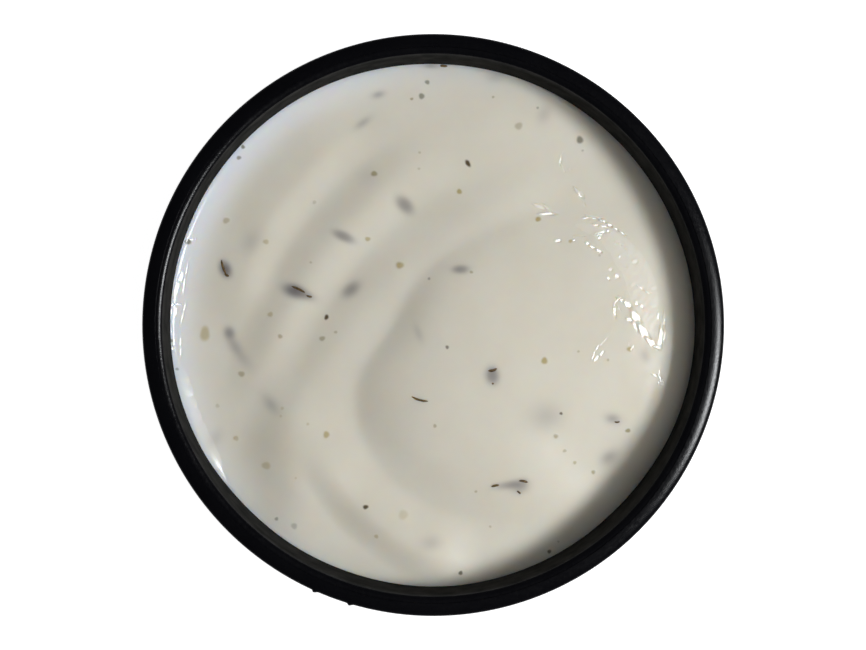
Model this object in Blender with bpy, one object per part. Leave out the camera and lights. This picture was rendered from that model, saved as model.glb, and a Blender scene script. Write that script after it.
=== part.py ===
"""A small round black bowl filled with black pepper mayonnaise.

The bowl is one turned solid with a foot ring and a flat-topped rim. The mayonnaise fills it to a
few millimetres under the rim. Its top is a relief: the last spoonful is a low round mound, the
earlier ones lie beside it as long soft folds, and the surface leans up the wall on one side. The
pepper flakes and granules that break the surface are joined to it.

Units are metres, +Z is up, and the origin is the middle of the foot, on the table. The relief is
worked out in millimetres from the bowl's axis, because all of its features are a few of them.
"""

from typing import NamedTuple

import bmesh
import bpy
import numpy as np

MM = 0.001
SHARP_ANGLE = np.radians(40.0)  # edges that bend more than this look sharp

# Bowl
RIM_R = 40.0 * MM
BOWL_H = 36.0 * MM
RIM_WIDTH = 2.95 * MM
RIM_OUTER_ROUND = 1.0 * MM
RIM_INNER_ROUND = 0.9 * MM
RIM_FALL = 0.15 * MM  # the flat top of the rim is this much lower at its inner edge
RIM_BAND = 1.6 * MM  # straight upright band under the rim's outer round
FOOT_R = 24.0 * MM
FOOT_H = 1.8 * MM
FOOT_WIDTH = 3.0 * MM
FOOT_CHAMFER = 0.5 * MM
RECESS_H = 1.0 * MM
FLOOR_Z = 4.2 * MM
FLOOR_R = 19.5 * MM
WALL_DRAFT = 0.012  # how much the hollow narrows for each unit of depth
OUTER_SQUARENESS = 2.3  # 2 is an ellipse, more is a fuller corner
INNER_SQUARENESS = 3.0
BOWL_SEGMENTS = 84
WALL_STEPS = 9
ROUND_STEPS = 3

# Mayonnaise
GAP = 0.3 * MM
LEVEL = 28.95 * MM  # height of the relief's zero
SAUCE_R = 36.4 * MM
SAUCE_SHOULDER_Z = 25.5 * MM  # below this the side follows the hollow of the bowl
TOP_RINGS = 29
SIDE_SEGMENTS = 60

# Relief, in millimetres from the axis
EDGE_R = 36.4
CROWN_DROP = 1.2
CROWN_AT = (8.0, 6.0)
MOUND_AT = (6.7, -9.3)
MOUND_R = 17.6
MOUND_H = 2.7
MOUND_POWER = 3.1  # how flat its top and how steep its side is, where it ends
MOUND_POWER_REACHING = 2.0  # and where it thins away
MOUND_TOE = 0.16
MOUND_FLAT_TOWARDS = 145.6  # degrees: the side pressed flat by the fold beside it
MOUND_FLAT_DEPTH = 2.4
MOUND_FLAT_SPREAD = 24.0
MOUND_REACH = 20.0  # how much further it runs out on the side where it thins away
MOUND_REACH_TOWARDS = 16.0
MOUND_REACH_NARROWNESS = 3.4
CLING_LOW = 0.25  # how far the surface curls up the wall where it climbs least
CLING_HIGH = 0.35  # and how much more where it climbs most
CLING_TOWARDS = 165.0
CLING_WIDTH = 0.5
BANK_SLOPE = 0.26  # how steeply it leans up towards the wall on one side
BANK_TOWARDS = 152.0
BANK_NARROWNESS = 4.0
BANK_FLAT = 2.0  # the width next to the wall where the slope is even
BANK_WIDTH = 2.8


class Fold(NamedTuple):
    """A long soft step in the surface, along an arc; lengths in mm, angles in degrees."""

    centre: tuple
    radius: float
    middle: float
    spread: float
    height: float
    front: float
    back: float


class Hump(NamedTuple):
    """A low rounded lump of the surface, in mm."""

    x: float
    y: float
    radius_x: float
    radius_y: float
    height: float


class Flake(NamedTuple):
    """A sliver of pepper husk lying in the surface; mm and degrees."""

    x: float
    y: float
    turn: float
    length: float
    width: float
    bend: float


class Granule(NamedTuple):
    """A grain of cracked pepper or herb, in mm."""

    x: float
    y: float
    size: float


FOLDS = (
    Fold((10.8, -5.5), 44.4, 146.6, 28.4, 0.82, 9.5, 5.0),
    Fold((34.4, -27.6), 64.8, 144.0, 23.7, 0.68, 5.3, 5.2),
    Fold((46.5, -49.8), 78.8, 136.5, 27.1, 0.69, 6.8, 13.0),
    Fold((10.2, -6.4), 30.1, 230.0, 34.0, 1.20, 4.8, 9.0),
)
FOLD_FADE = 0.45  # share of the spread after which a fold starts to fade

HUMPS = (
    Hump(-19.2, -19.8, 5.3, 8.7, 1.30),
    Hump(24.0, -19.5, 8.5, 8.0, -1.10),
    Hump(21.0, 21.5, 8.6, 10.0, -0.40),
)

FLAKES = (
    Flake(-18.8, 4.7, -22.0, 4.0, 1.1, 0.25),
    Flake(-29.2, 8.0, -63.0, 2.9, 0.9, 0.15),
    Flake(-4.0, 17.1, -45.0, 2.9, 1.3, 0.0),
    Flake(-12.5, 12.4, -27.0, 3.3, 1.0, 0.1),
    Flake(-11.6, 4.9, 40.0, 2.7, 1.1, 0.1),
    Flake(-27.5, -3.0, -52.0, 5.4, 1.1, -0.3),
    Flake(3.6, 7.9, 4.0, 2.3, 0.8, 0.0),
    Flake(-1.8, -10.4, -15.0, 2.5, 0.6, -0.15),
    Flake(8.3, -7.2, -68.0, 2.3, 1.2, 0.1),
    Flake(10.7, -22.6, 7.0, 5.2, 1.0, 0.2),
    Flake(25.5, -13.2, 12.0, 2.2, 0.8, 0.0),
    Flake(-22.8, -11.2, -35.0, 2.4, 0.9, 0.0),
    Flake(-2.0, -1.3, -75.0, 2.2, 1.1, 0.0),
)
FLAKE_THICKNESS = 0.45
FLAKE_LIFT = 0.05
FLAKE_STATIONS = 4

GRANULES = (
    Granule(-4.7, 8.4, 1.1),
    Granule(-8.3, 21.3, 1.0),
    Granule(-32.1, -1.3, 1.5),
    Granule(-23.5, -19.8, 1.2),
    Granule(-15.0, -15.4, 1.0),
    Granule(12.1, 28.1, 1.1),
    Granule(20.8, 26.2, 1.1),
    Granule(3.7, 18.8, 0.9),
    Granule(14.8, 14.9, 0.9),
    Granule(15.5, -5.0, 1.0),
    Granule(27.6, -3.4, 0.9),
    Granule(-27.0, -6.9, 1.0),
    Granule(-15.6, -1.9, 0.9),
    Granule(4.9, 22.8, 1.1),
    Granule(-15.0, 1.1, 0.8),
    Granule(-9.5, -25.6, 0.9),
    Granule(-1.6, 32.3, 0.9),
)
GRANULE_FLATNESS = 0.6
GRANULE_SUBDIVISIONS = 1


# ---------------------------------------------------------------- relief of the mayonnaise


def ease(t):
    """0 below 0, 1 above 1, and a smooth step between."""
    t = np.clip(t, 0.0, 1.0)
    return t * t * (3.0 - 2.0 * t)


def degrees_from(angle, middle):
    """An angle in radians as degrees away from the middle direction, -180 to 180."""
    return (np.degrees(angle) - middle + 180.0) % 360.0 - 180.0


def above_zero(t, bend):
    """t where it is well above 0, 0 where it is well below, with a soft bend between."""
    return 0.5 * (t + np.sqrt(t * t + bend * bend))


def crown(x, y):
    """The whole surface is a little higher in the middle than at its edge."""
    return -CROWN_DROP * ((x - CROWN_AT[0]) ** 2 + (y - CROWN_AT[1]) ** 2) / EDGE_R**2


def mound(x, y):
    """The last spoonful: steep on its rounded side, thinning away on the other."""
    dx, dy = x - MOUND_AT[0], y - MOUND_AT[1]
    angle = np.arctan2(dy, dx)
    flat = np.exp(-((degrees_from(angle, MOUND_FLAT_TOWARDS) / MOUND_FLAT_SPREAD) ** 2))
    towards = np.cos(np.radians(degrees_from(angle, MOUND_REACH_TOWARDS)))
    reaching = (0.5 + 0.5 * towards) ** MOUND_REACH_NARROWNESS
    outline = MOUND_R - MOUND_FLAT_DEPTH * flat + MOUND_REACH * reaching
    power = MOUND_POWER + (MOUND_POWER_REACHING - MOUND_POWER) * reaching
    share = np.hypot(dx, dy) / outline
    return MOUND_H * above_zero(1.0 - share**power, MOUND_TOE)


def fold(x, y, shape):
    """One fold: it rises over its front and falls back over its longer inner side."""
    dx, dy = x - shape.centre[0], y - shape.centre[1]
    outside = np.hypot(dx, dy) - shape.radius
    along = np.abs(degrees_from(np.arctan2(dy, dx), shape.middle)) / shape.spread
    present = 1.0 - ease((along - FOLD_FADE) / (1.0 - FOLD_FADE))
    rise = 1.0 - ease(outside / shape.front + 0.5)
    stay = 1.0 - ease((-shape.front / 2 - outside) / shape.back)
    return shape.height * rise * stay * present


def hump(x, y, shape):
    """A rounded lump."""
    across = ((x - shape.x) / shape.radius_x) ** 2 + ((y - shape.y) / shape.radius_y) ** 2
    return shape.height * np.exp(-across)


def cling(x, y):
    """The surface curls up the wall, most on one side."""
    towards = np.cos(np.radians(degrees_from(np.arctan2(y, x), CLING_TOWARDS)))
    climb = CLING_LOW + CLING_HIGH * (0.5 + 0.5 * towards) ** 2
    return climb * np.exp((np.hypot(x, y) - EDGE_R) / CLING_WIDTH)


def bank(x, y):
    """The surface leans up towards the wall in a wide soft bank on one side."""
    towards = np.cos(np.radians(degrees_from(np.arctan2(y, x), BANK_TOWARDS)))
    slope = BANK_SLOPE * (0.5 + 0.5 * towards) ** BANK_NARROWNESS
    inwards = EDGE_R - np.hypot(x, y) - BANK_FLAT
    foot = BANK_WIDTH * np.exp(-np.maximum(inwards, 0.0) / BANK_WIDTH)
    return slope * (foot + np.maximum(-inwards, 0.0))


def relief(x, y):
    """Height of the surface over the level, in mm, at a point in mm from the axis."""
    height = crown(x, y) + mound(x, y) + cling(x, y) + bank(x, y)
    for shape in FOLDS:
        height = height + fold(x, y, shape)
    for shape in HUMPS:
        height = height + hump(x, y, shape)
    return height


def surface(x, y):
    """Height of the mayonnaise over the table at a point given in metres from the axis."""
    return LEVEL + relief(x / MM, y / MM) * MM


# ---------------------------------------------------------------- profiles


def arc(centre_r, centre_z, radius, first, last, steps):
    """Points (r, z) on an arc, the angles in degrees from straight out."""
    angles = np.radians(np.linspace(first, last, steps + 1))
    return [(centre_r + radius * np.cos(a), centre_z + radius * np.sin(a)) for a in angles]


def bulge(inner_r, outer_r, low_z, high_z, squareness, steps):
    """Points (r, z) of a full rounded corner, from its upright top to its level bottom."""
    points = []
    for angle in np.linspace(0.0, np.pi / 2, steps + 1):
        across = max(np.cos(angle), 0.0) ** (2 / squareness)
        down = np.sin(angle) ** (2 / squareness)
        points.append((inner_r + (outer_r - inner_r) * across, high_z - (high_z - low_z) * down))
    return points


def hollow_profile():
    """The bowl's inner wall, from under the rim's inner round down to the edge of the floor."""
    top_r = RIM_R - RIM_WIDTH
    top_z = BOWL_H - RIM_FALL - RIM_INNER_ROUND
    wall = bulge(FLOOR_R, top_r, FLOOR_Z, top_z, INNER_SQUARENESS, WALL_STEPS)
    return [(r - WALL_DRAFT * (top_z - z), z) for r, z in wall]


def foot_profile():
    """The underside, from the axis out over the foot ring."""
    inner_r = FOOT_R - FOOT_WIDTH
    return [
        (0.0, RECESS_H),
        (inner_r - RECESS_H + FOOT_CHAMFER, RECESS_H),
        (inner_r, 0.0),
        (FOOT_R - FOOT_CHAMFER, 0.0),
        (FOOT_R, FOOT_CHAMFER),
    ]


def bowl_profile():
    """The whole section of the bowl's wall, from the axis underneath to the axis inside."""
    band_top = BOWL_H - RIM_OUTER_ROUND
    side = bulge(FOOT_R, RIM_R, FOOT_H, band_top - RIM_BAND, OUTER_SQUARENESS, WALL_STEPS)
    outer_round = arc(RIM_R - RIM_OUTER_ROUND, band_top, RIM_OUTER_ROUND, 0, 90, ROUND_STEPS)
    lip_r = RIM_R - RIM_WIDTH + RIM_INNER_ROUND
    lip_z = BOWL_H - RIM_FALL - RIM_INNER_ROUND
    inner_round = arc(lip_r, lip_z, RIM_INNER_ROUND, 90, 180, ROUND_STEPS)
    inside = hollow_profile()[1:]
    return foot_profile() + side[::-1] + outer_round + inner_round + inside + [(0.0, FLOOR_Z)]


def inset(points, gap):
    """The points of a profile moved sideways by the gap, to the left of its direction."""
    line = np.array(points)
    along = np.gradient(line, axis=0)
    along /= np.linalg.norm(along, axis=1, keepdims=True)
    return line + gap * np.column_stack([along[:, 1], -along[:, 0]])


def sauce_side_profile():
    """The side and the edge of the bottom of the mayonnaise, a gap inside the bowl."""
    points = inset(hollow_profile(), GAP)
    shoulder = [(SAUCE_R, SAUCE_SHOULDER_Z)]
    return shoulder + [(r, z) for r, z in points if z < SAUCE_SHOULDER_Z - 2 * MM]


# ---------------------------------------------------------------- meshes


def ring_of(mesh, radius, height, count):
    """A closed ring of vertices, counter-clockwise from +X; height may depend on x and y."""
    angles = np.linspace(0.0, 2 * np.pi, count, endpoint=False)
    ring = []
    for x, y in zip(radius * np.cos(angles), radius * np.sin(angles)):
        z = height(x, y) if callable(height) else height
        ring.append(mesh.verts.new((x, y, z)))
    return ring


def stitch(mesh, upper, lower):
    """Triangles between two closed rings of any counts, facing up and out."""
    a = b = 0
    while a < len(upper) or b < len(lower):
        first, second = upper[a % len(upper)], lower[b % len(lower)]
        step_upper = a < len(upper) and (a + 1) * len(lower) < (b + 1) * len(upper)
        if b == len(lower) or step_upper:
            a += 1
            third = upper[a % len(upper)]
        else:
            b += 1
            third = lower[b % len(lower)]
        if third not in (first, second):
            mesh.faces.new((first, second, third))


def finished(name, mesh, material):
    """The mesh as a smooth-shaded object of the scene."""
    data = bpy.data.meshes.new(name)
    mesh.to_mesh(data)
    mesh.free()
    data.materials.append(material)
    data.shade_smooth()
    data.set_sharp_from_angle(angle=SHARP_ANGLE)
    item = bpy.data.objects.new(name, data)
    bpy.context.scene.collection.objects.link(item)
    return item


def turned(name, profile, segments, material):
    """A solid of revolution about Z of a profile that starts and ends on the axis."""
    mesh = bmesh.new()
    rings = []
    for r, z in profile:
        rings.append(ring_of(mesh, r, z, segments if r > 0 else 1))
    for lower, upper in zip(rings, rings[1:]):
        stitch(mesh, upper, lower)
    return finished(name, mesh, material)


def sauce_body(name, material):
    """The mayonnaise without its flakes: the relief on top, closed along the bowl's hollow."""
    mesh = bmesh.new()
    rings = [ring_of(mesh, 0.0, surface, 1)]
    for k in range(1, TOP_RINGS + 1):
        rings.append(ring_of(mesh, SAUCE_R * k / TOP_RINGS, surface, 6 * k))
    for r, z in sauce_side_profile():
        rings.append(ring_of(mesh, r, z, SIDE_SEGMENTS))
    rings.append(ring_of(mesh, 0.0, FLOOR_Z + GAP, 1))
    for upper, lower in zip(rings, rings[1:]):
        stitch(mesh, upper, lower)
    return finished(name, mesh, material)


def lay_on_surface(mesh, x, y, turn):
    """Moves a small mesh, built about its own origin in mm, to its place on the surface."""
    cos, sin = np.cos(np.radians(turn)), np.sin(np.radians(turn))
    for vertex in mesh.verts:
        along, across, up = vertex.co
        px = (x + along * cos - across * sin) * MM
        py = (y + along * sin + across * cos) * MM
        vertex.co = (px, py, surface(px, py) + up * MM)


def flake(name, shape, material):
    """A pepper husk: a curved sliver, diamond-shaped across and pointed at both ends."""
    mesh = bmesh.new()
    half = shape.length / 2
    rings = [[mesh.verts.new((-half, 0.0, FLAKE_LIFT))]]
    for share in np.linspace(-1.0, 1.0, FLAKE_STATIONS + 2)[1:-1]:
        wide = 0.5 * shape.width * (1.0 - share**4)
        thick = 0.5 * FLAKE_THICKNESS * (1.0 - share**4)
        middle = shape.bend * (1.0 - share**2)
        corners = ((wide, 0.0), (0.0, thick), (-wide, 0.0), (0.0, -thick))
        rings.append(
            [mesh.verts.new((share * half, middle + dy, FLAKE_LIFT + dz)) for dy, dz in corners]
        )
    rings.append([mesh.verts.new((half, 0.0, FLAKE_LIFT))])
    for upper, lower in zip(rings, rings[1:]):
        stitch(mesh, upper, lower)
    lay_on_surface(mesh, shape.x, shape.y, shape.turn)
    bmesh.ops.recalc_face_normals(mesh, faces=mesh.faces)
    return finished(name, mesh, material)


def granule(name, shape, material):
    """A cracked grain: a small flattened many-sided lump, half sunk."""
    mesh = bmesh.new()
    bmesh.ops.create_icosphere(mesh, subdivisions=GRANULE_SUBDIVISIONS, radius=shape.size / 2)
    for vertex in mesh.verts:
        vertex.co.z *= GRANULE_FLATNESS
    lay_on_surface(mesh, shape.x, shape.y, 90.0 * shape.size)
    return finished(name, mesh, material)


def fuse(body, pieces):
    """Joins the pieces to the body with one Boolean union, and removes them."""
    group = bpy.data.collections.new("to_fuse")
    for piece in pieces:
        bpy.context.scene.collection.objects.unlink(piece)
        group.objects.link(piece)
    bpy.context.scene.collection.children.link(group)
    union = body.modifiers.new("fused", "BOOLEAN")
    union.operation = "UNION"
    union.operand_type = "COLLECTION"
    union.collection = group
    union.solver = "EXACT"
    union.material_mode = "TRANSFER"
    graph = bpy.context.evaluated_depsgraph_get()
    joined = bpy.data.meshes.new_from_object(body.evaluated_get(graph))
    body.modifiers.remove(union)
    body.data = joined
    for piece in pieces:
        bpy.data.objects.remove(piece)
    bpy.data.collections.remove(group)


# ---------------------------------------------------------------- materials


def principled(name, colour, roughness):
    """A plain Principled material."""
    material = bpy.data.materials.new(name)
    material.use_nodes = True
    shader = material.node_tree.nodes["Principled BSDF"]
    shader.inputs["Base Color"].default_value = (*colour, 1.0)
    shader.inputs["Roughness"].default_value = roughness
    shader.inputs["Metallic"].default_value = 0.0
    return material


def black_melamine():
    return principled("black_melamine", (0.006, 0.006, 0.008), 0.32)


def mayonnaise_cream():
    return principled("mayonnaise_cream", (0.66, 0.62, 0.51), 0.22)


def pepper_husk():
    return principled("pepper_husk", (0.045, 0.035, 0.02), 0.55)


def green_pepper():
    return principled("green_pepper", (0.22, 0.19, 0.06), 0.45)


# ---------------------------------------------------------------- the part


def clear_scene():
    for item in list(bpy.data.objects):
        bpy.data.objects.remove(item)


def build_bowl():
    return turned("bowl", bowl_profile(), BOWL_SEGMENTS, black_melamine())


def build_mayonnaise():
    body = sauce_body("mayonnaise", mayonnaise_cream())
    husk, green = pepper_husk(), green_pepper()
    pieces = [flake(f"flake_{i}", shape, husk) for i, shape in enumerate(FLAKES)]
    pieces += [granule(f"granule_{i}", shape, green) for i, shape in enumerate(GRANULES)]
    fuse(body, pieces)
    return body


def main():
    clear_scene()
    build_bowl()
    build_mayonnaise()


main()
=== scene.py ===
"""Looks of a small black bowl of black pepper mayonnaise.

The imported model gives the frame. Here the bowl is turned again with finer rounds. The mayonnaise
gets a fine surface with the solid's mound and folds and the smaller forms that the solid leaves
out, and with the pepper that lies in it: slivers of husk and grains that break the surface, and
pieces of husk that show through it as soft patches.

Everything is in metres in the frame's axes. The relief and the pepper are placed in millimetres
from the bowl's axis, because all of their sizes are a few of them.
"""

from typing import NamedTuple

import bmesh
import bpy
import numpy as np
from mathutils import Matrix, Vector

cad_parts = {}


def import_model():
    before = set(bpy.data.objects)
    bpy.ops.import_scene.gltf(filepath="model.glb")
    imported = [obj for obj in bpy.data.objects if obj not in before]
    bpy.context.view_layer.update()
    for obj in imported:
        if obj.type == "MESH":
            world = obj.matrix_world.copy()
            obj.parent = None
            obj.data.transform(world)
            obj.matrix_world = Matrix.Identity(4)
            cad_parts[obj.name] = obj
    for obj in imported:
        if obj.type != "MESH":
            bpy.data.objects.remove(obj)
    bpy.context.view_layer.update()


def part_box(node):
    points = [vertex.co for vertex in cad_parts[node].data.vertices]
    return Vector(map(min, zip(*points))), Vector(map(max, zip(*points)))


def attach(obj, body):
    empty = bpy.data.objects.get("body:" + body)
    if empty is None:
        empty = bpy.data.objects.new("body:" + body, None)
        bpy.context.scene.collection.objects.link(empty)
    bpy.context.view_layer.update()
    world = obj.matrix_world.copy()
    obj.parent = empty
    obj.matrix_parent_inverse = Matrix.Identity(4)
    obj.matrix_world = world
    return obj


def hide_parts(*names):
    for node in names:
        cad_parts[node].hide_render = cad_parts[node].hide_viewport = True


MM = 0.001

# Bowl: the solid's sizes, but for the rim's rounds, which are flatter here, and its two nubs
RIM_WIDTH = 2.95 * MM
RIM_OUTER_ROUND = 1.8 * MM
RIM_OUTER_DROP = 0.6 * MM
RIM_INNER_ROUND = 1.1 * MM
RIM_INNER_DROP = 0.9 * MM
RIM_FALL = 0.15 * MM
RIM_BAND = 1.6 * MM
FOOT_R = 24.0 * MM
FOOT_H = 1.8 * MM
FOOT_WIDTH = 3.0 * MM
FOOT_CHAMFER = 0.5 * MM
RECESS_H = 1.0 * MM
FLOOR_Z = 4.2 * MM
FLOOR_R = 19.5 * MM
WALL_DRAFT = 0.012
OUTER_SQUARENESS = 2.3
INNER_SQUARENESS = 3.0
NUB_HEIGHT = 0.25 * MM
NUB_LENGTH = 1.1 * MM
NUBS_TOWARDS = (-114.4, -107.0)
NUB_INWARDS = 1.2 * MM  # a nub grows over this much of the rim's outermost part
NUB_DOWN = 3.0 * MM  # and is gone this far under the rim's top
NUB_FADE = 2.0 * MM
FILM_TOP = 0.22  # share of the rim's inner round that the film reaches onto
BOWL_SEGMENTS = 240
WALL_STEPS = 44
ROUND_STEPS = 12

# Mayonnaise
GAP = 0.3 * MM
LEVEL = 28.95 * MM
INTO_WALL = 0.5 * MM  # the top runs this far into the wall, so that no gap shows
SPACING = 0.33 * MM
SIDE_RINGS = 10
PAINT_DEPTH = 4.0 * MM  # nothing is painted further than this under the level

# Relief, in millimetres from the axis. The sizes of the crown, the mound, the bank, the folds and
# the first three humps were fitted by a helper program to the photo's blurred brightness; a few of
# them were changed later.
EDGE_R = 36.4
WALL_AT = 37.0
CROWN_DROP = 1.2
CROWN_AT = (8.0, 6.0)
MOUND_AT = (6.7, -9.3)
MOUND_R = 17.6
MOUND_H = 2.7
MOUND_POWER = 3.1
MOUND_POWER_REACHING = 2.0
MOUND_TOE = 0.16
MOUND_FLAT_TOWARDS = 145.6
MOUND_FLAT_DEPTH = 2.4
MOUND_FLAT_SPREAD = 24.0
MOUND_REACH = 20.0
MOUND_REACH_TOWARDS = 16.0
MOUND_REACH_NARROWNESS = 3.4
CLING_LOW = 0.15
CLING_HIGH = 0.3
CLING_TOWARDS = 165.0
CLING_WIDTH = 0.4
BANK_SLOPE = 0.27
BANK_TOWARDS = 152.0
BANK_NARROWNESS = 4.0
BANK_FLAT = 2.0
BANK_WIDTH = 2.8
BAND_SLOPE = 0.32
BAND_WIDTH = 1.8
BAND_FROM = 182.0
BAND_TO = 221.0
BAND_FADE = 12.0
BAND_CREASE = 0.03
SCALLOP_DEPTH = 0.15
SCALLOP_LENGTH = 2.3

# The part of the skin that is finely wrinkled: between an outer and an inner arc, above a line
WRINKLED_OUTER = (20.3, 3.0, 12.2)
WRINKLED_INNER = (14.0, 2.0, 11.9)
WRINKLED_ABOVE = (27.9, 1.8, 34.0)
WRINKLED_FADES = (1.2, 4.2, 2.4)  # over which it fades at the outer arc, the inner arc, the line
RIPPLE_SLOPE = 0.028
RIPPLE_WANDER = 0.22
WRINKLED_ROUGHNESS = 0.40
# The wrinkled skin is also painted paler, in a tone of its own: a painted sheen
WRINKLED_PAINTED_SHEEN = 0.30
WRINKLED_SHEEN_TONE = (0.95, 0.905, 0.82)
RIPPLES = (
    (1.90, 12.0, 0.0),
    (1.30, 78.0, 1.3),
    (0.95, 141.0, 2.9),
    (1.55, -38.0, 4.4),
    (0.70, 40.0, 0.7),
    (0.85, 103.0, 5.2),
    (1.10, 170.0, 3.6),
)

# Slope along x and along y that shows the window from above, at the axis and for each mm away
WINDOW_LEAN_X = (-0.345, 0.0030)
WINDOW_LEAN_Y = (0.078, 0.0034)
FACET_FLAT = 0.75  # share of a facet's oval that is flat
FACET_BLEND = 0.5  # over how much more of it the skin takes over again

GRAIN_BUMP = 0.05
GRAIN_BUMP_SPREAD = 1.05
GRAIN_SOLID = 0.55
GRAIN_FADE = 0.8

# Where the mesh is finer: shares of a thing's oval, or mm from it
FINE_ROUND_PATCH = 1.6
FINE_ROUND_GRAIN = 1.9
FINE_ROUND_FACET = 1.4
FINE_PAST_FACET = 0.45  # mm, on the facet's whole width
FINE_PAST_SLIVER = 0.5
FINE_BY_BAND = 0.35
FINE_BY_WALL = (-0.2, 0.7)
THIN_FACET = 0.27  # facets narrower than this get the finest mesh


class Fold(NamedTuple):
    """A long soft step in the surface, along an arc; lengths in mm, angles in degrees."""

    centre: tuple
    radius: float
    middle: float
    spread: float
    height: float
    front: float
    back: float


class Hump(NamedTuple):
    """A low rounded lump of the surface, in mm."""

    x: float
    y: float
    radius_x: float
    radius_y: float
    height: float


class Patch(NamedTuple):
    """A piece of husk under the surface, which shows as a soft patch; mm and degrees."""

    x: float
    y: float
    turn: float
    length: float
    width: float
    amount: float
    sharpness: float


class Sliver(NamedTuple):
    """The edge of a husk that breaks the surface, from one end to the other, in mm."""

    start: tuple
    end: tuple
    bend: float
    width: float


class Grain(NamedTuple):
    """A grain of cracked pepper or herb in the surface: place, size and tone, in mm."""

    x: float
    y: float
    length: float
    width: float
    turn: float
    tone: str
    amount: float


class Facet(NamedTuple):
    """A small flat place in the skin that leans towards the window, in mm and degrees."""

    x: float
    y: float
    turn: float
    length: float
    width: float
    lean: float


FOLDS = (
    Fold((10.8, -5.5), 44.4, 146.6, 28.4, 0.82, 9.5, 5.0),
    Fold((34.4, -27.6), 64.8, 144.0, 23.7, 0.68, 5.3, 5.2),
    Fold((46.5, -49.8), 78.8, 136.5, 27.1, 0.69, 6.8, 13.0),
    Fold((10.2, -6.4), 30.1, 230.0, 34.0, 1.20, 4.8, 9.0),
)
FOLD_FADE = 0.45

# The first three are the solid's, two of them deeper here, and the others are only here
HUMPS = (
    Hump(-19.2, -19.8, 5.3, 8.7, 1.30),
    Hump(24.0, -19.5, 8.5, 8.0, -1.50),
    Hump(21.0, 21.5, 8.6, 10.0, -0.50),
    Hump(0.0, 39.0, 15.0, 5.5, -0.80),
    Hump(-28.0, -28.5, 7.5, 7.5, -0.75),
    Hump(1.0, -38.0, 13.0, 6.5, 0.90),
)

PATCHES = (
    Patch(-19.5, 4.75, -19.0, 3.4, 1.9, 0.84, 2.6),
    Patch(-17.9, 4.2, -22.0, 2.8, 1.2, 0.45, 2.0),
    Patch(-29.2, 7.85, -66.0, 2.4, 1.7, 0.84, 2.6),
    Patch(-4.0, 16.9, -45.0, 3.1, 1.9, 0.60, 2.8),
    Patch(-12.6, 12.45, -25.0, 3.3, 1.4, 0.62, 2.8),
    Patch(-11.55, 5.0, 38.0, 2.9, 1.8, 0.58, 2.4),
    Patch(-28.7, -1.1, -65.0, 1.8, 1.5, 0.60, 2.4),
    Patch(-28.0, -2.9, -58.0, 3.6, 1.6, 0.38, 2.0),
    Patch(-26.6, -4.9, -50.0, 3.2, 1.6, 0.16, 2.0),
    Patch(3.8, 7.8, 2.0, 2.4, 1.2, 0.62, 2.6),
    Patch(8.2, -7.05, -80.0, 2.5, 2.0, 0.66, 2.6),
    Patch(10.8, -22.45, 8.0, 4.0, 1.2, 0.50, 2.4),
    Patch(12.2, -22.7, 4.0, 2.6, 1.9, 0.46, 2.2),
    Patch(25.3, -13.2, -10.0, 2.2, 1.4, 0.44, 2.0),
    Patch(-22.8, -11.2, -50.0, 3.2, 1.7, 0.30, 2.0),
    Patch(-2.1, -1.1, -68.0, 2.6, 1.1, 0.20, 2.0),
    Patch(-0.3, 36.6, -2.0, 2.2, 0.7, 0.45, 2.0),
    Patch(15.9, -12.9, 0.0, 4.6, 4.0, 0.25, 2.0),
    Patch(24.9, -18.7, 35.0, 2.7, 1.9, 0.44, 2.0),
    Patch(-0.2, -30.7, 0.0, 2.8, 2.0, 0.20, 2.0),
    Patch(-25.6, 11.7, 60.0, 3.6, 2.6, 0.20, 2.0),
    Patch(-7.7, 32.5, 15.0, 1.9, 1.0, 0.42, 2.0),
    Patch(-9.9, 28.5, 35.0, 2.6, 1.1, 0.34, 2.0),
    Patch(15.7, 29.8, 60.0, 2.6, 1.9, 0.22, 2.0),
    Patch(8.7, 35.0, 0.0, 2.6, 1.6, 0.20, 2.0),
    Patch(-30.7, -16.0, 60.0, 2.8, 1.8, 0.18, 2.0),
    Patch(-9.2, 21.2, 0.0, 3.6, 3.2, 0.10, 2.0),
    Patch(29.8, -4.4, -60.0, 1.8, 1.3, 0.20, 2.0),
)

SLIVERS = (
    Sliver((-19.9, 5.45), (-18.0, 4.55), 0.06, 0.34),
    Sliver((-17.8, 4.15), (-17.0, 3.95), -0.05, 0.29),
    Sliver((-29.8, 9.15), (-29.1, 7.2), -0.10, 0.31),
    Sliver((-29.3, 7.3), (-28.7, 6.85), -0.08, 0.34),
    Sliver((-3.05, -10.0), (-0.75, -10.65), -0.16, 0.31),
    Sliver((7.6, -6.4), (8.85, -6.1), -0.10, 0.36),
    Sliver((8.15, -8.1), (8.4, -8.25), 0.0, 0.26),
    Sliver((8.15, -22.7), (9.25, -22.45), 0.04, 0.34),
    Sliver((12.05, -21.85), (13.3, -22.1), 0.05, 0.34),
    Sliver((11.8, -23.3), (12.3, -23.75), 0.0, 0.26),
    Sliver((25.55, -13.65), (26.3, -13.6), -0.08, 0.23),
    Sliver((1.0, 36.65), (2.05, 36.6), 0.0, 0.34),
)

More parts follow.
